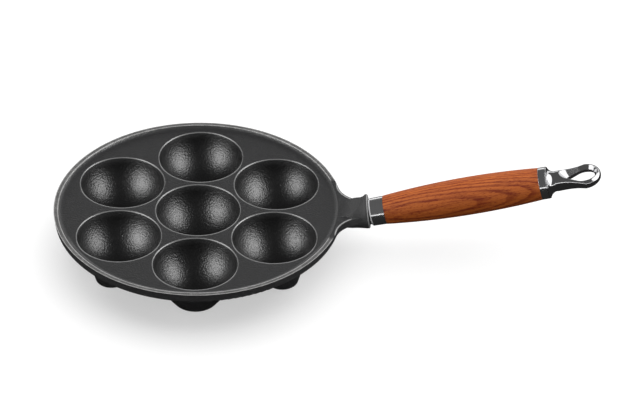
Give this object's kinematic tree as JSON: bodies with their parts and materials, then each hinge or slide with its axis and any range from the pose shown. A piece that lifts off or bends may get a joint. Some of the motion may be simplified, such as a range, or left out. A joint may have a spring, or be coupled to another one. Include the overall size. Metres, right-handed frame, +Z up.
{
  "type": "pancake pan",
  "caption": "Cast iron pancake pan with round wells in a flat round plate, and a turned wooden grip held on a threaded tie rod that ends in a hanging loop.",
  "frame": {"origin": "on the surface that the pan stands on, under the middle of the centre well", "axes": "+X along the handle's side, towards the hanging loop; +Z up; +Y to the left of someone who looks along +X"},
  "size_m": [0.3874, 0.205, 0.0751],
  "materials": {
    "enamelled_iron": "satin black enamel with a ground bare rim",
    "ferrule_steel": "dark satin",
    "oiled_wood": "oiled",
    "turned_steel": "fine turned",
    "spring_steel": "plain",
    "polished_steel": "mirror polished",
    "rod_steel": "threaded"
  },
  "bodies": {
    "pan": {"pan_casting": "enamelled_iron"},
    "grip": {"front_ferrule": "ferrule_steel", "wood_grip": "oiled_wood", "rear_ferrule": "turned_steel", "spring_washer": "spring_steel"},
    "tie": {"tie_rod": "rod_steel", "hanging_loop": "polished_steel"}
  },
  "joints": [
    {"name": "grip_slide", "type": "slide", "parent": "pan", "child": "grip", "axis": [0.9761, 0, 0.2171], "range_m": [0, 0.015]},
    {"name": "loop_turn", "type": "hinge", "parent": "grip", "child": "tie", "pos_m": [0.1224, 0, 0.03579], "axis": [0.9761, 0, 0.2171], "range_deg": [0, 4320]}
  ],
  "couplings": [
    {"joint": "loop_turn", "follows": "grip_slide", "rad_per_m": 5026.5}
  ]
}
